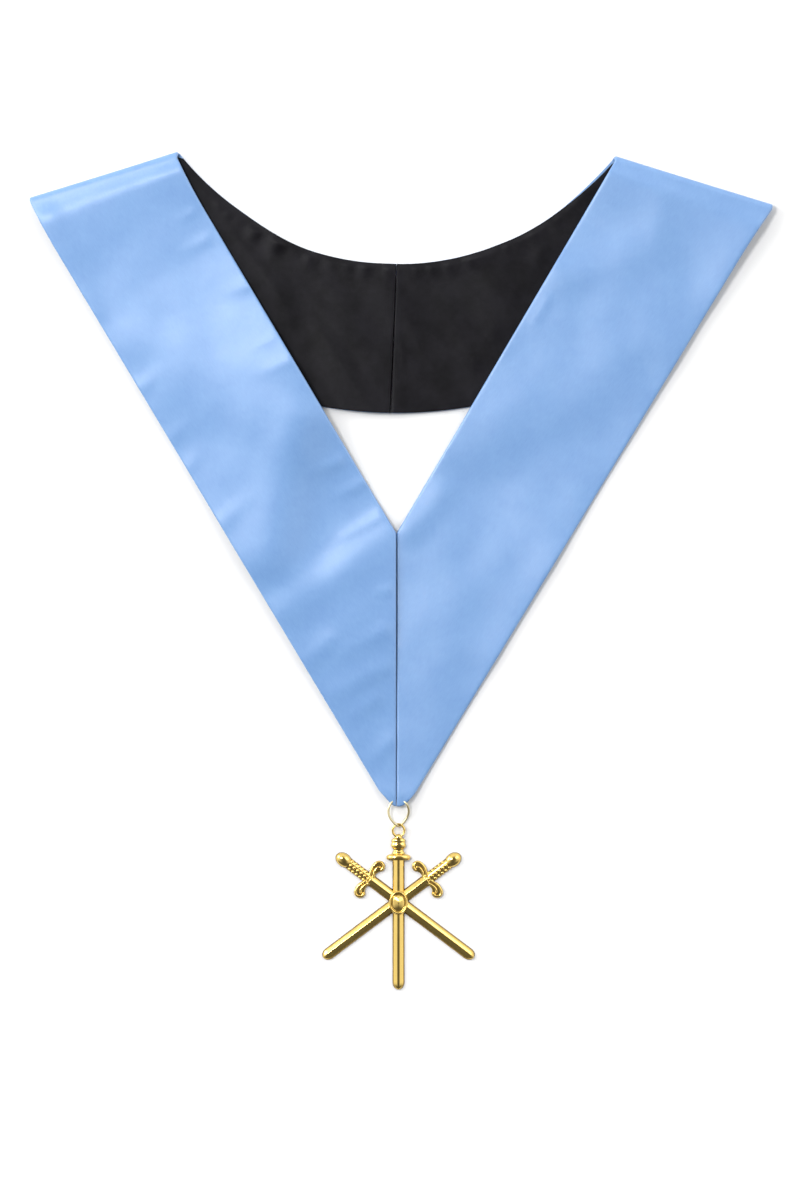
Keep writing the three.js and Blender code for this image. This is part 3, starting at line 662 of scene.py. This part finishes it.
def gold_plated_casting(colours):
    """Cast brass, polished, with a gold finish: bright facets, and painted shade that makes it
    browner low down by the back edge.
    """
    material, tree = start_material("gold_plated_casting")
    where = add_node(tree, "ShaderNodeTexCoord")
    ripple = add_node(tree, "ShaderNodeTexNoise", {"Vector": where.outputs["Object"]},
                      in_Scale=420.0, in_Detail=3.0, in_Roughness=0.55)
    rub = add_node(tree, "ShaderNodeTexNoise", {"Vector": where.outputs["Object"]},
                   in_Scale=90.0, in_Detail=4.0, in_Roughness=0.6)
    colour = blend(tree, rub.outputs["Fac"], toned(colours.gold, 0.86), toned(colours.gold, 1.08))
    # Painted shade: the colour turns to a brown towards the bottom of the casting, standing in for
    # shade and dark reflections at its outline.
    axes = add_node(tree, "ShaderNodeSeparateXYZ", {"Vector": where.outputs["Object"]})
    height = add_node(tree, "ShaderNodeMapRange", {"Value": axes.outputs["Z"]},
                      interpolation_type="SMOOTHSTEP", in_From_Min=0.9 * MM,
                      in_From_Max=2.0 * MM)
    gold_with_painted_shade = add_node(tree, "ShaderNodeMix", {"Factor": height.outputs["Result"], 7: colour},
                      data_type="RGBA")
    gold_with_painted_shade.inputs[6].default_value = colours.painted_edge_shade
    gloss = add_node(tree, "ShaderNodeMapRange", {"Value": rub.outputs["Fac"]},
                     in_From_Min=0.3, in_From_Max=0.7, in_To_Min=0.10, in_To_Max=0.22)
    bump = add_node(tree, "ShaderNodeBump", {"Height": ripple.outputs["Fac"]},
                    in_Strength=0.05, in_Distance=0.0003)
    surface(tree, {"Base Color": gold_with_painted_shade.outputs[2], "Roughness": gloss.outputs["Result"],
                   "Normal": bump.outputs["Normal"]}, in_Metallic=1.0)
    return material


def plated_ring_wire(colours):
    """Drawn steel wire with a pale gold flash: bright, with fine draw lines."""
    material, tree = start_material("plated_ring_wire")
    where = add_node(tree, "ShaderNodeTexCoord")
    drawn = add_node(tree, "ShaderNodeTexNoise", {"Vector": where.outputs["Object"]},
                     in_Scale=600.0, in_Detail=2.0)
    gloss = add_node(tree, "ShaderNodeMapRange", {"Value": drawn.outputs["Fac"]},
                     in_To_Min=0.30, in_To_Max=0.42)
    colour = blend(tree, drawn.outputs["Fac"], toned(colours.champagne, 0.85), colours.champagne)
    surface(tree, {"Base Color": colour, "Roughness": gloss.outputs["Result"]}, in_Metallic=1.0)
    return material


def studio_paper():
    """Matt white background paper: a faint tooth and no shine."""
    material, tree = start_material("studio_paper")
    where = add_node(tree, "ShaderNodeTexCoord")
    tooth = add_node(tree, "ShaderNodeTexNoise", {"Vector": where.outputs["Object"]},
                     in_Scale=900.0, in_Detail=2.0)
    bump = add_node(tree, "ShaderNodeBump", {"Height": tooth.outputs["Fac"]},
                    in_Strength=0.05, in_Distance=0.0001)
    surface(tree, {"Normal": bump.outputs["Normal"]}, in_Base_Color=hex_colour("#ececec"),
            in_Roughness=0.95, in_Specular_IOR_Level=0.1)
    return material


# The ring, in millimetres. Its path: shares of half the ring across and along, and the height.
RING_WIRE = 1.5
RING_WIDTH = 14
RING_LENGTH = 20.1
RING_X = 1.4
RING_Y = -186
RING_CLEARANCE = 0.3
LOOP_BOTTOM = RING_WIRE + 2 * RING_CLEARANCE
LOOP_THICK = 1.5
WIRE_LOW = RING_WIRE / 2 + 0.2
WIRE_OVER = LOOP_BOTTOM + LOOP_THICK + RING_CLEARANCE + RING_WIRE / 2
RING_PATH = [
    (-0.04, 1.0, WIRE_LOW + 0.15), (-0.36, 0.93, WIRE_LOW + 0.5), (-0.67, 0.76, WIRE_OVER - 0.5),
    (-0.96, 0.45, WIRE_OVER), (-1.08, 0.05, WIRE_OVER), (-0.95, -0.36, WIRE_OVER),
    (-0.6, -0.70, WIRE_OVER + 0.1), (-0.20, -0.955, WIRE_OVER - 0.1),
    (0.0, -1.0, LOOP_BOTTOM + LOOP_THICK / 2), (0.20, -0.955, WIRE_LOW + 0.1),
    (0.6, -0.68, WIRE_LOW), (0.95, -0.31, WIRE_LOW + 0.5), (1.08, 0.08, WIRE_LOW + 2.0),
    (0.96, 0.46, WIRE_OVER), (0.62, 0.76, WIRE_OVER - 0.5), (0.30, 0.93, WIRE_LOW + 0.5),
]


def curve_mesh(curve):
    """The mesh of a curve, which itself goes."""
    holder = bpy.data.objects.new("line", curve)
    bpy.context.scene.collection.objects.link(holder)
    graph = bpy.context.evaluated_depsgraph_get()
    mesh = bpy.data.meshes.new_from_object(holder.evaluated_get(graph))
    bpy.data.objects.remove(holder)
    bpy.data.curves.remove(curve)
    mesh.shade_smooth()
    return mesh


def rod(points, radius, closed=False, sides=4):
    """A round wire along points."""
    curve = bpy.data.curves.new("rod", "CURVE")
    curve.dimensions = "3D"
    curve.bevel_depth = radius
    curve.bevel_resolution = sides
    curve.use_fill_caps = not closed
    spline = curve.splines.new("POLY")
    spline.points.add(len(points) - 1)
    for point, (x, y, z) in zip(spline.points, points):
        point.co = (x, y, z, 1)
    spline.use_cyclic_u = closed
    return curve_mesh(curve)


def dense(points, count, closed=True):
    """More points on the smooth line through points."""
    out = []
    n = len(points)
    pick = (lambda k: points[k % n]) if closed else (lambda k: points[min(max(k, 0), n - 1)])
    for i in range(n if closed else n - 1):
        a, b, c, d = (Vector(pick(i + k)) for k in (-1, 0, 1, 2))
        for s in range(count):
            t = s / count
            out.append(0.5 * ((2 * b) + (c - a) * t + (2 * a - 5 * b + 4 * c - d) * t * t
                              + (3 * b - a - 3 * c + d) * t ** 3))
    if not closed:
        out.append(Vector(points[-1]))
    return out


# The jewel, in millimetres, with the CAD's sizes and places. Profiles are shares of a size.
JEWEL_X = 1.3
CROSSING_Y = -245.5
SWORD_LEAN = 37
BLADE_WIDTH = 7.9
BLADE_HEIGHT = 3.2
BLADE_TIP_LENGTH = 5
CENTRE_BLADE_REACH = 59
SIDE_BLADE_REACH = 62.8
GUARD_BACK = 24.5
GUARD_REACH = 14.5
GUARD_PLATE = 1.9
GUARD_RIDGE = 0.85
GRIP_WIDTH = 7.6
GRIP_HEIGHT = 2.5
GRIP_BEAD = 1.3
GRIP_BEADS = 6
POMMEL_BACK = 22.8
POMMEL_RADIUS = 4.6
BOSS_HALF_WIDTH = 6.4
BOSS_HALF_HEIGHT = 8.2
BOSS_HEIGHT = 3.9
BOSS_CREASE = 1.35
BOSS_CREASE_REACH = 0.6
BOSS_STEPS = 64
HILT_STEPS = 48
HILT_REACH = 42.3
HILT_FLATTEN = 0.52
HILT_AXIS_Z = 1.1
LOOP_Y = -198.3
LOOP_RADIUS = 4.9
LOOP_HOLE_HALF_WIDTH = 2.8
LOOP_HOLE_HALF_HEIGHT = 3.35
HILT_PROFILE = [
    (0, 1.0), (0.06, 0.998), (0.1, 0.975), (0.11, 0.95), (0.104, 0.925), (0.112, 0.905),
    (0.118, 0.88), (0.11, 0.85), (0.085, 0.828), (0.077, 0.805), (0.08, 0.79), (0.094, 0.778),
    (0.094, 0.766), (0.102, 0.752), (0.125, 0.742), (0.155, 0.733), (0.18, 0.718), (0.191, 0.698),
    (0.19, 0.676), (0.178, 0.658), (0.15, 0.647), (0, 0.64),
]
QUILLON = [
    (0.23, 0), (0.23, 0.14), (0.14, 0.28), (0.12, 0.41), (0.17, 0.55), (0.28, 0.67), (0.27, 0.85),
    (0.14, 0.98), (-0.05, 1.0), (-0.21, 0.88), (-0.27, 0.64), (-0.25, 0.41), (-0.14, 0.19),
    (-0.1, 0),
]
OUTER_RIDGE = [(-0.05, 0.1), (-0.16, 0.38), (-0.2, 0.62), (-0.15, 0.82), (-0.03, 0.93),
               (0.12, 0.9), (0.2, 0.8), (0.19, 0.68)]
INNER_RIDGE = [(0.08, 0.2), (-0.01, 0.42), (-0.01, 0.62), (0.06, 0.72)]
BOSS_PROFILE = [
    (0, 0.95), (0.3, 0.95), (0.57, 0.93), (0.63, 0.86), (0.68, 0.84), (0.73, 0.92), (0.79, 1.06),
    (0.86, 1.12), (0.93, 1.04), (0.985, 0.86), (1.0, 0.62), (1.0, 0),
]


def lay_face(bm, along, across, place):
    """A grid laid point by point, closed down to a flat back; place takes both shares."""
    bmesh.ops.create_grid(bm, x_segments=along, y_segments=across, size=0.5)
    for vert in bm.verts:
        vert.co = place(round((vert.co.x + 0.5) * along), round((vert.co.y + 0.5) * across))
    made = bmesh.ops.extrude_face_region(bm, geom=bm.faces[:])["geom"]
    for item in made:
        if isinstance(item, bmesh.types.BMVert):
            item.co.z = 0


def blade(start, end):
    """A ridged bar along +X whose facets run out in a rounded tip."""
    bm = bmesh.new()
    half = BLADE_WIDTH / 2
    section = [(-1, 0.16), (-0.97, 0.27), (-0.82, 0.5), (-0.2, 0.985), (-0.13, 1), (0.13, 1),
               (0.2, 0.985), (0.82, 0.5), (0.97, 0.27), (1, 0.16)]
    bends = [0, 14, 28, 41, 53, 64, 73, 81, 87]
    rows = [(start, 1.0)] + [
        (end - BLADE_TIP_LENGTH * (1 - math.sin(math.radians(bend))),
         math.cos(math.radians(bend)) ** 0.9) for bend in bends]

    def place(i, j):
        x, size = rows[i]
        share, height = section[j]
        return Vector((x, half * share * size, BLADE_HEIGHT * height * (0.3 + 0.7 * size)))

    lay_face(bm, len(rows) - 1, len(section) - 1, place)
    return mesh_of(bm, smooth=False)


def ball(bm, radius, place, shape=(1, 1, 1), fine=3):
    move = Matrix.Translation(place) @ Matrix.Diagonal((*shape, 1))
    bmesh.ops.create_icosphere(bm, subdivisions=fine, radius=radius, matrix=move)


def joined(meshes):
    """One mesh of several, which themselves go."""
    bm = bmesh.new()
    for mesh in meshes:
        bm.from_mesh(mesh)
        bpy.data.meshes.remove(mesh)
    whole = bpy.data.meshes.new("part")
    bm.to_mesh(whole)
    bm.free()
    return whole


def moved(mesh, matrix):
    mesh.transform(matrix)
    return mesh


def plate(outline, depth, bevel):
    """A flat plate with a rounded upper edge, cut to a smooth outline."""
    bm = bmesh.new()
    floor = bm.faces.new([bm.verts.new((x, y, 0)) for x, y, z in outline])
    made = bmesh.ops.extrude_face_region(bm, geom=[floor])["geom"]
    top = [item for item in made if isinstance(item, bmesh.types.BMVert)]
    bmesh.ops.translate(bm, verts=top, vec=(0, 0, depth))
    rim = [edge for edge in bm.edges if all(vert in top for vert in edge.verts)]
    bmesh.ops.bevel(bm, geom=rim, offset=bevel, offset_type="OFFSET", segments=3, profile=0.5,
                    affect="EDGES", material=-1)
    bmesh.ops.triangulate(bm, faces=[face for face in bm.faces if len(face.verts) > 4])
    return mesh_of(bm)


def turned(bm, profile, steps):
    """A solid turned about +Z from pairs of radius and height."""
    ring = [bm.verts.new((radius, 0, height)) for radius, height in profile]
    edges = [bm.edges.new(pair) for pair in zip(ring, ring[1:])]
    bmesh.ops.spin(bm, geom=ring + edges, axis=(0, 0, 1), cent=(0, 0, 0), angle=2 * math.pi,
                   steps=steps, use_merge=True)
    bmesh.ops.remove_doubles(bm, verts=bm.verts[:], dist=0.001)


def mesh_of(bm, smooth=True):
    """The mesh of a part, its normals outward."""
    mesh = bpy.data.meshes.new("part")
    bmesh.ops.recalc_face_normals(bm, faces=bm.faces)
    for face in bm.faces:
        face.smooth = smooth
    bm.to_mesh(mesh)
    bm.free()
    return mesh


def quillon(hand):
    """Half of a guard: a curled plate with two raised ridges."""
    reach = GUARD_REACH
    spread = [(x * reach, hand * y * reach, 0) for x, y in QUILLON]
    outline = dense(spread, 4, closed=False)
    meshes = [plate(outline, GUARD_PLATE, GUARD_RIDGE * 0.6)]
    for line in (OUTER_RIDGE, INNER_RIDGE):
        path = [(x * reach, hand * y * reach, GUARD_PLATE * 0.9) for x, y in line]
        meshes.append(rod(dense(path, 5, closed=False), GUARD_RIDGE, sides=5))
        meshes += [ball_mesh(GUARD_RIDGE * 1.03, end) for end in (path[0], path[-1])]
    return meshes


def ball_mesh(radius, place, shape=(1, 1, 1), fine=3):
    bm = bmesh.new()
    ball(bm, radius, place, shape, fine)
    return mesh_of(bm)


def side_sword():
    """A sword along +X with the crossing at its origin."""
    bm = bmesh.new()
    start = -GUARD_BACK - POMMEL_BACK
    length = POMMEL_BACK + GUARD_REACH * 0.1
    lie = Matrix.Translation((start + length / 2, 0, 0)) @ Matrix.Rotation(math.pi / 2, 4, "Y")
    flat = Matrix.Diagonal((1, 1, GRIP_HEIGHT / (GRIP_WIDTH / 2), 1))
    bmesh.ops.create_cone(bm, cap_ends=True, segments=40, radius1=GRIP_WIDTH / 2,
                          radius2=GRIP_WIDTH / 2, depth=length, matrix=flat @ lie)
    ball(bm, POMMEL_RADIUS, (start + POMMEL_RADIUS * 0.35, 0, 0), (1.3, 1, 0.84), 4)
    first = start + POMMEL_RADIUS * 1.35 + GRIP_BEAD
    pitch = (-GUARD_BACK - GRIP_BEAD * 0.6 - first) / (GRIP_BEADS - 1)
    for row in (-1, 0, 1):
        around = math.pi * (0.5 + 0.3 * row)
        for i in range(GRIP_BEADS):
            ball(bm, GRIP_BEAD, (
                first + pitch * (i + 0.25 * row),
                math.cos(around) * (GRIP_WIDTH / 2 - GRIP_BEAD * 0.5),
                math.sin(around) * (GRIP_HEIGHT - GRIP_BEAD * 0.45)))
    ball(bm, GRIP_WIDTH * 0.46, (-GUARD_BACK + GUARD_REACH * 0.08, 0, 0), (0.62, 1.08, 0.98))
    guard = moved(joined(quillon(1) + quillon(-1)), Matrix.Translation((-GUARD_BACK, 0, 0)))
    return joined([blade(-GUARD_BACK, SIDE_BLADE_REACH), mesh_of(bm), guard])


def upright_sword():
    """The upright sword along +Y, its hilt turned and pressed flat."""
    steel = moved(blade(-HILT_REACH * 0.68, CENTRE_BLADE_REACH),
                  Matrix.Rotation(-math.pi / 2, 4, "Z"))
    hilt = bmesh.new()
    line = dense([(r * HILT_REACH, h * HILT_REACH, 0) for r, h in HILT_PROFILE], 3, closed=False)
    turned(hilt, [(max(point[0], 0), point[1]) for point in line], HILT_STEPS)
    stand = Matrix.Rotation(-math.pi / 2, 4, "X")
    flat = Matrix.Diagonal((1, 1, HILT_FLATTEN, 1))
    bmesh.ops.transform(hilt, verts=hilt.verts,
                        matrix=Matrix.Translation((0, 0, HILT_AXIS_Z)) @ flat @ stand)
    return joined([steel, mesh_of(hilt)])


def boss():
    """The oval boss: rolled rim, groove and a dome with a soft upright crease."""
    bm = bmesh.new()
    line = dense([(r * BOSS_HALF_WIDTH, h * BOSS_HEIGHT, 0) for r, h in BOSS_PROFILE], 3,
                 closed=False)
    turned(bm, [(max(point[0], 0), max(point[1], 0)) for point in line], BOSS_STEPS)
    for vert in bm.verts:
        across, up = (abs(v) / (BOSS_CREASE_REACH * BOSS_HALF_WIDTH) for v in vert.co.xy)
        vert.co.z += BOSS_CREASE * max(0, 1 - across) * max(0, 1 - up ** 2)
        vert.co.y *= BOSS_HALF_HEIGHT / BOSS_HALF_WIDTH
    return mesh_of(bm)


def hanging_loop():
    wide = (LOOP_RADIUS + LOOP_HOLE_HALF_WIDTH) / 2
    tall = (LOOP_RADIUS + LOOP_HOLE_HALF_HEIGHT) / 2
    path = [(wide * math.cos(math.pi * i / 8), tall * math.sin(math.pi * i / 8), 0)
            for i in range(16)]
    mesh = rod(dense(path, 4), LOOP_RADIUS - tall, closed=True, sides=6)
    mesh.transform(Matrix.Diagonal((1, 1, LOOP_THICK / 2 / (LOOP_RADIUS - tall), 1)))
    return mesh


class COLLAR_OT_satin(bpy.types.Operator):
    """Lay the light blue satin of both halves"""

    bl_idname = "collar.satin"
    bl_label = "Satin"

    def execute(self, context):
        sizes, colours = context.scene.collar_sizes, context.scene.collar_colours
        material = woven_polyester_satin(colours, sizes)
        rows = stations(sizes.back_rows, sizes.front_rows)
        for side, lay in LAYS.items():
            piece = cloth_sheet(
                f"satin_cloth_{side}", lay, satin_profile(sizes.across), rows,
                satin_relief(lay, sizes), sizes.satin_sheet, material,
                point_cuts(lay.side["sign"]), back_up=False)
            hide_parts(f"satin_{side}")
        return {"FINISHED"}


class COLLAR_OT_lining(bpy.types.Operator):
    """Lay the black lining of both halves"""

    bl_idname = "collar.lining"
    bl_label = "Lining"

    def execute(self, context):
        sizes, colours = context.scene.collar_sizes, context.scene.collar_colours
        material = woven_cotton_lining(colours, sizes)
        rows = stations(sizes.back_rows, sizes.front_rows)
        for side, lay in LAYS.items():
            piece = cloth_sheet(
                f"lining_cloth_{side}", lay, lining_profile(sizes.across), rows,
                lining_relief(lay, sizes), sizes.lining_sheet, material,
                [((0, -LINING_POINT_DROP, 0), (0, -1, 0))], back_up=True)
            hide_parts(f"lining_{side}")
        return {"FINISHED"}


class COLLAR_OT_ring(bpy.types.Operator):
    """Bend the wire ring through the point and the jewel's loop"""

    bl_idname = "collar.ring"
    bl_label = "Ring"

    def execute(self, context):
        material = plated_ring_wire(context.scene.collar_colours)
        half = Vector((RING_WIDTH - RING_WIRE, RING_LENGTH - RING_WIRE, 2)) / 2
        path = [Vector((x * half.x, y * half.y, z)) for x, y, z in RING_PATH]
        mesh = rod(dense(path, 6), RING_WIRE / 2, closed=True, sides=5)
        move = Matrix.Translation(PLAN_SHIFT + Vector((RING_X, RING_Y, 0)))
        mesh.transform(Matrix.Scale(MM, 4) @ move)
        piece = new_object("ring_wire", mesh, material)
        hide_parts("suspension_ring")
        return {"FINISHED"}


class COLLAR_OT_jewel(bpy.types.Operator):
    """Cast the jewel of three swords"""

    bl_idname = "collar.jewel"
    bl_label = "Jewel"

    def execute(self, context):
        crossing = Matrix.Translation((0, CROSSING_Y, 0))
        stem_y = (CROSSING_Y + HILT_REACH + LOOP_Y - LOOP_RADIUS) / 2
        parts = [
            (side_sword(), crossing @ Matrix.Rotation(math.radians(-SWORD_LEAN), 4, "Z")),
            (side_sword(), crossing @ Matrix.Rotation(math.radians(SWORD_LEAN - 180), 4, "Z")),
            (upright_sword(), crossing),
            (boss(), Matrix.Translation((0, CROSSING_Y - 1, 0))),
            (hanging_loop(), Matrix.Translation((0, LOOP_Y, LOOP_BOTTOM + LOOP_THICK / 2))),
            (ball_mesh(LOOP_RADIUS * 0.52, (0, stem_y, LOOP_BOTTOM), (1, 1, 0.7)), Matrix()),
        ]
        bm = bmesh.new()
        bm.from_mesh(joined([moved(mesh, move) for mesh, move in parts]))
        geometry = bm.verts[:] + bm.edges[:] + bm.faces[:]
        bmesh.ops.bisect_plane(bm, geom=geometry, plane_co=(0, 0, 0), plane_no=(0, 0, -1),
                               clear_outer=True, dist=CUT_MARGIN)
        open_edges = [edge for edge in bm.edges if edge.is_boundary]
        bmesh.ops.holes_fill(bm, edges=open_edges, sides=0)
        bmesh.ops.translate(bm, verts=bm.verts, vec=PLAN_SHIFT + Vector((JEWEL_X, 0, 0)))
        bmesh.ops.scale(bm, verts=bm.verts, vec=(MM, MM, MM))
        mesh = bpy.data.meshes.new("jewel_casting")
        bm.to_mesh(mesh)
        bm.free()
        mesh.set_sharp_from_angle(angle=math.radians(JEWEL_SHARP))
        material = gold_plated_casting(context.scene.collar_colours)
        piece = new_object("jewel_casting", mesh, material)
        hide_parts("jewel")
        return {"FINISHED"}


# The photograph's stage, in metres and watts.
FLOOR_HALF = 3.0
LIGHTS = (
    ("lustre", (-1.06, 0.62, 2.4), 0.65, 36),
    ("rake", (-2.2, 0.9, 1.25), 1.4, 38),
    ("fill", (1.6, 0.9, 2.0), 1.6, 17),
)
CAMERA_PLACE = (-0.00077, -0.01887, 3.0)
CAMERA_LENS = 134.9
CAMERA_SENSOR = 36


def area_light(name, place, size, power):
    """A square light aimed at the middle of the floor."""
    light = bpy.data.lights.new(name, "AREA")
    light.shape = "SQUARE"
    light.size = size
    light.energy = power
    holder = bpy.data.objects.new(name, light)
    holder.location = place
    holder.rotation_euler = (-Vector(place)).to_track_quat("-Z", "Y").to_euler()
    bpy.context.scene.collection.objects.link(holder)


def studio_world():
    """White surroundings: dark overhead and towards the viewer, bright low and far."""
    world = bpy.data.worlds.new("studio")
    world.use_nodes = True
    tree = world.node_tree
    where = add_node(tree, "ShaderNodeTexCoord")
    axes = add_node(tree, "ShaderNodeSeparateXYZ", {"Vector": where.outputs["Generated"]})
    glow = add_node(tree, "ShaderNodeMapRange", {"Value": axes.outputs["Z"]},
                    interpolation_type="SMOOTHSTEP", in_From_Min=0.6, in_From_Max=0.97,
                    in_To_Min=1.25, in_To_Max=0.16)
    side = add_node(tree, "ShaderNodeMapRange", {"Value": axes.outputs["Y"]},
                    interpolation_type="SMOOTHSTEP", in_From_Min=-0.7, in_From_Max=-0.05,
                    in_To_Min=0.12, in_To_Max=1.0)
    strength = add_node(tree, "ShaderNodeMath",
                        {0: glow.outputs["Result"], 1: side.outputs["Result"]},
                        operation="MULTIPLY")
    sky = tree.nodes["Background"]
    sky.inputs["Color"].default_value = (1, 1, 1, 1)
    tree.links.new(strength.outputs["Value"], sky.inputs["Strength"])
    return world


class COLLAR_OT_stage(bpy.types.Operator):
    """Set the paper, lights and camera of the photograph"""

    bl_idname = "collar.stage"
    bl_label = "Stage"

    def execute(self, context):
        scene = context.scene
        bm = bmesh.new()
        bmesh.ops.create_grid(bm, x_segments=1, y_segments=1, size=FLOOR_HALF)
        floor = bpy.data.objects.new("floor", mesh_from(bm, "floor"))
        floor.data.materials.append(studio_paper())
        scene.collection.objects.link(floor)
        scene.world = studio_world()
        for light in LIGHTS:
            area_light(*light)
        scene.view_settings.view_transform = "Standard"
        camera = bpy.data.cameras.new("camera")
        camera.sensor_width = CAMERA_SENSOR
        camera.lens = CAMERA_LENS
        camera.clip_end = 20
        holder = bpy.data.objects.new("camera", camera)
        holder.location = CAMERA_PLACE
        scene.collection.objects.link(holder)
        scene.camera = holder
        return {"FINISHED"}


class COLLAR_PT_panel(bpy.types.Panel):
    """Steps that dress the collar"""

    bl_idname = "COLLAR_PT_panel"
    bl_label = "Collar"
    bl_space_type = "VIEW_3D"
    bl_region_type = "UI"
    bl_category = "Collar"

    def draw(self, context):
        for group in (context.scene.collar_sizes, context.scene.collar_colours):
            for name in group.__annotations__:
                self.layout.prop(group, name)
        for step in STEPS:
            self.layout.operator(step.bl_idname)


STEPS = (COLLAR_OT_stage, COLLAR_OT_satin, COLLAR_OT_lining, COLLAR_OT_ring, COLLAR_OT_jewel)
CLASSES = (CollarSizes, CollarColours) + STEPS + (COLLAR_PT_panel,)


def register():
    for item in CLASSES:
        bpy.utils.register_class(item)
    bpy.types.Scene.collar_sizes = PointerProperty(type=CollarSizes)
    bpy.types.Scene.collar_colours = PointerProperty(type=CollarColours)


def unregister():
    del bpy.types.Scene.collar_colours
    del bpy.types.Scene.collar_sizes
    for item in reversed(CLASSES):
        bpy.utils.unregister_class(item)


def main():
    register()
    bpy.ops.collar.stage()
    bpy.ops.collar.satin()
    bpy.ops.collar.lining()
    bpy.ops.collar.ring()
    bpy.ops.collar.jewel()


if __name__ == "__main__":
    main()
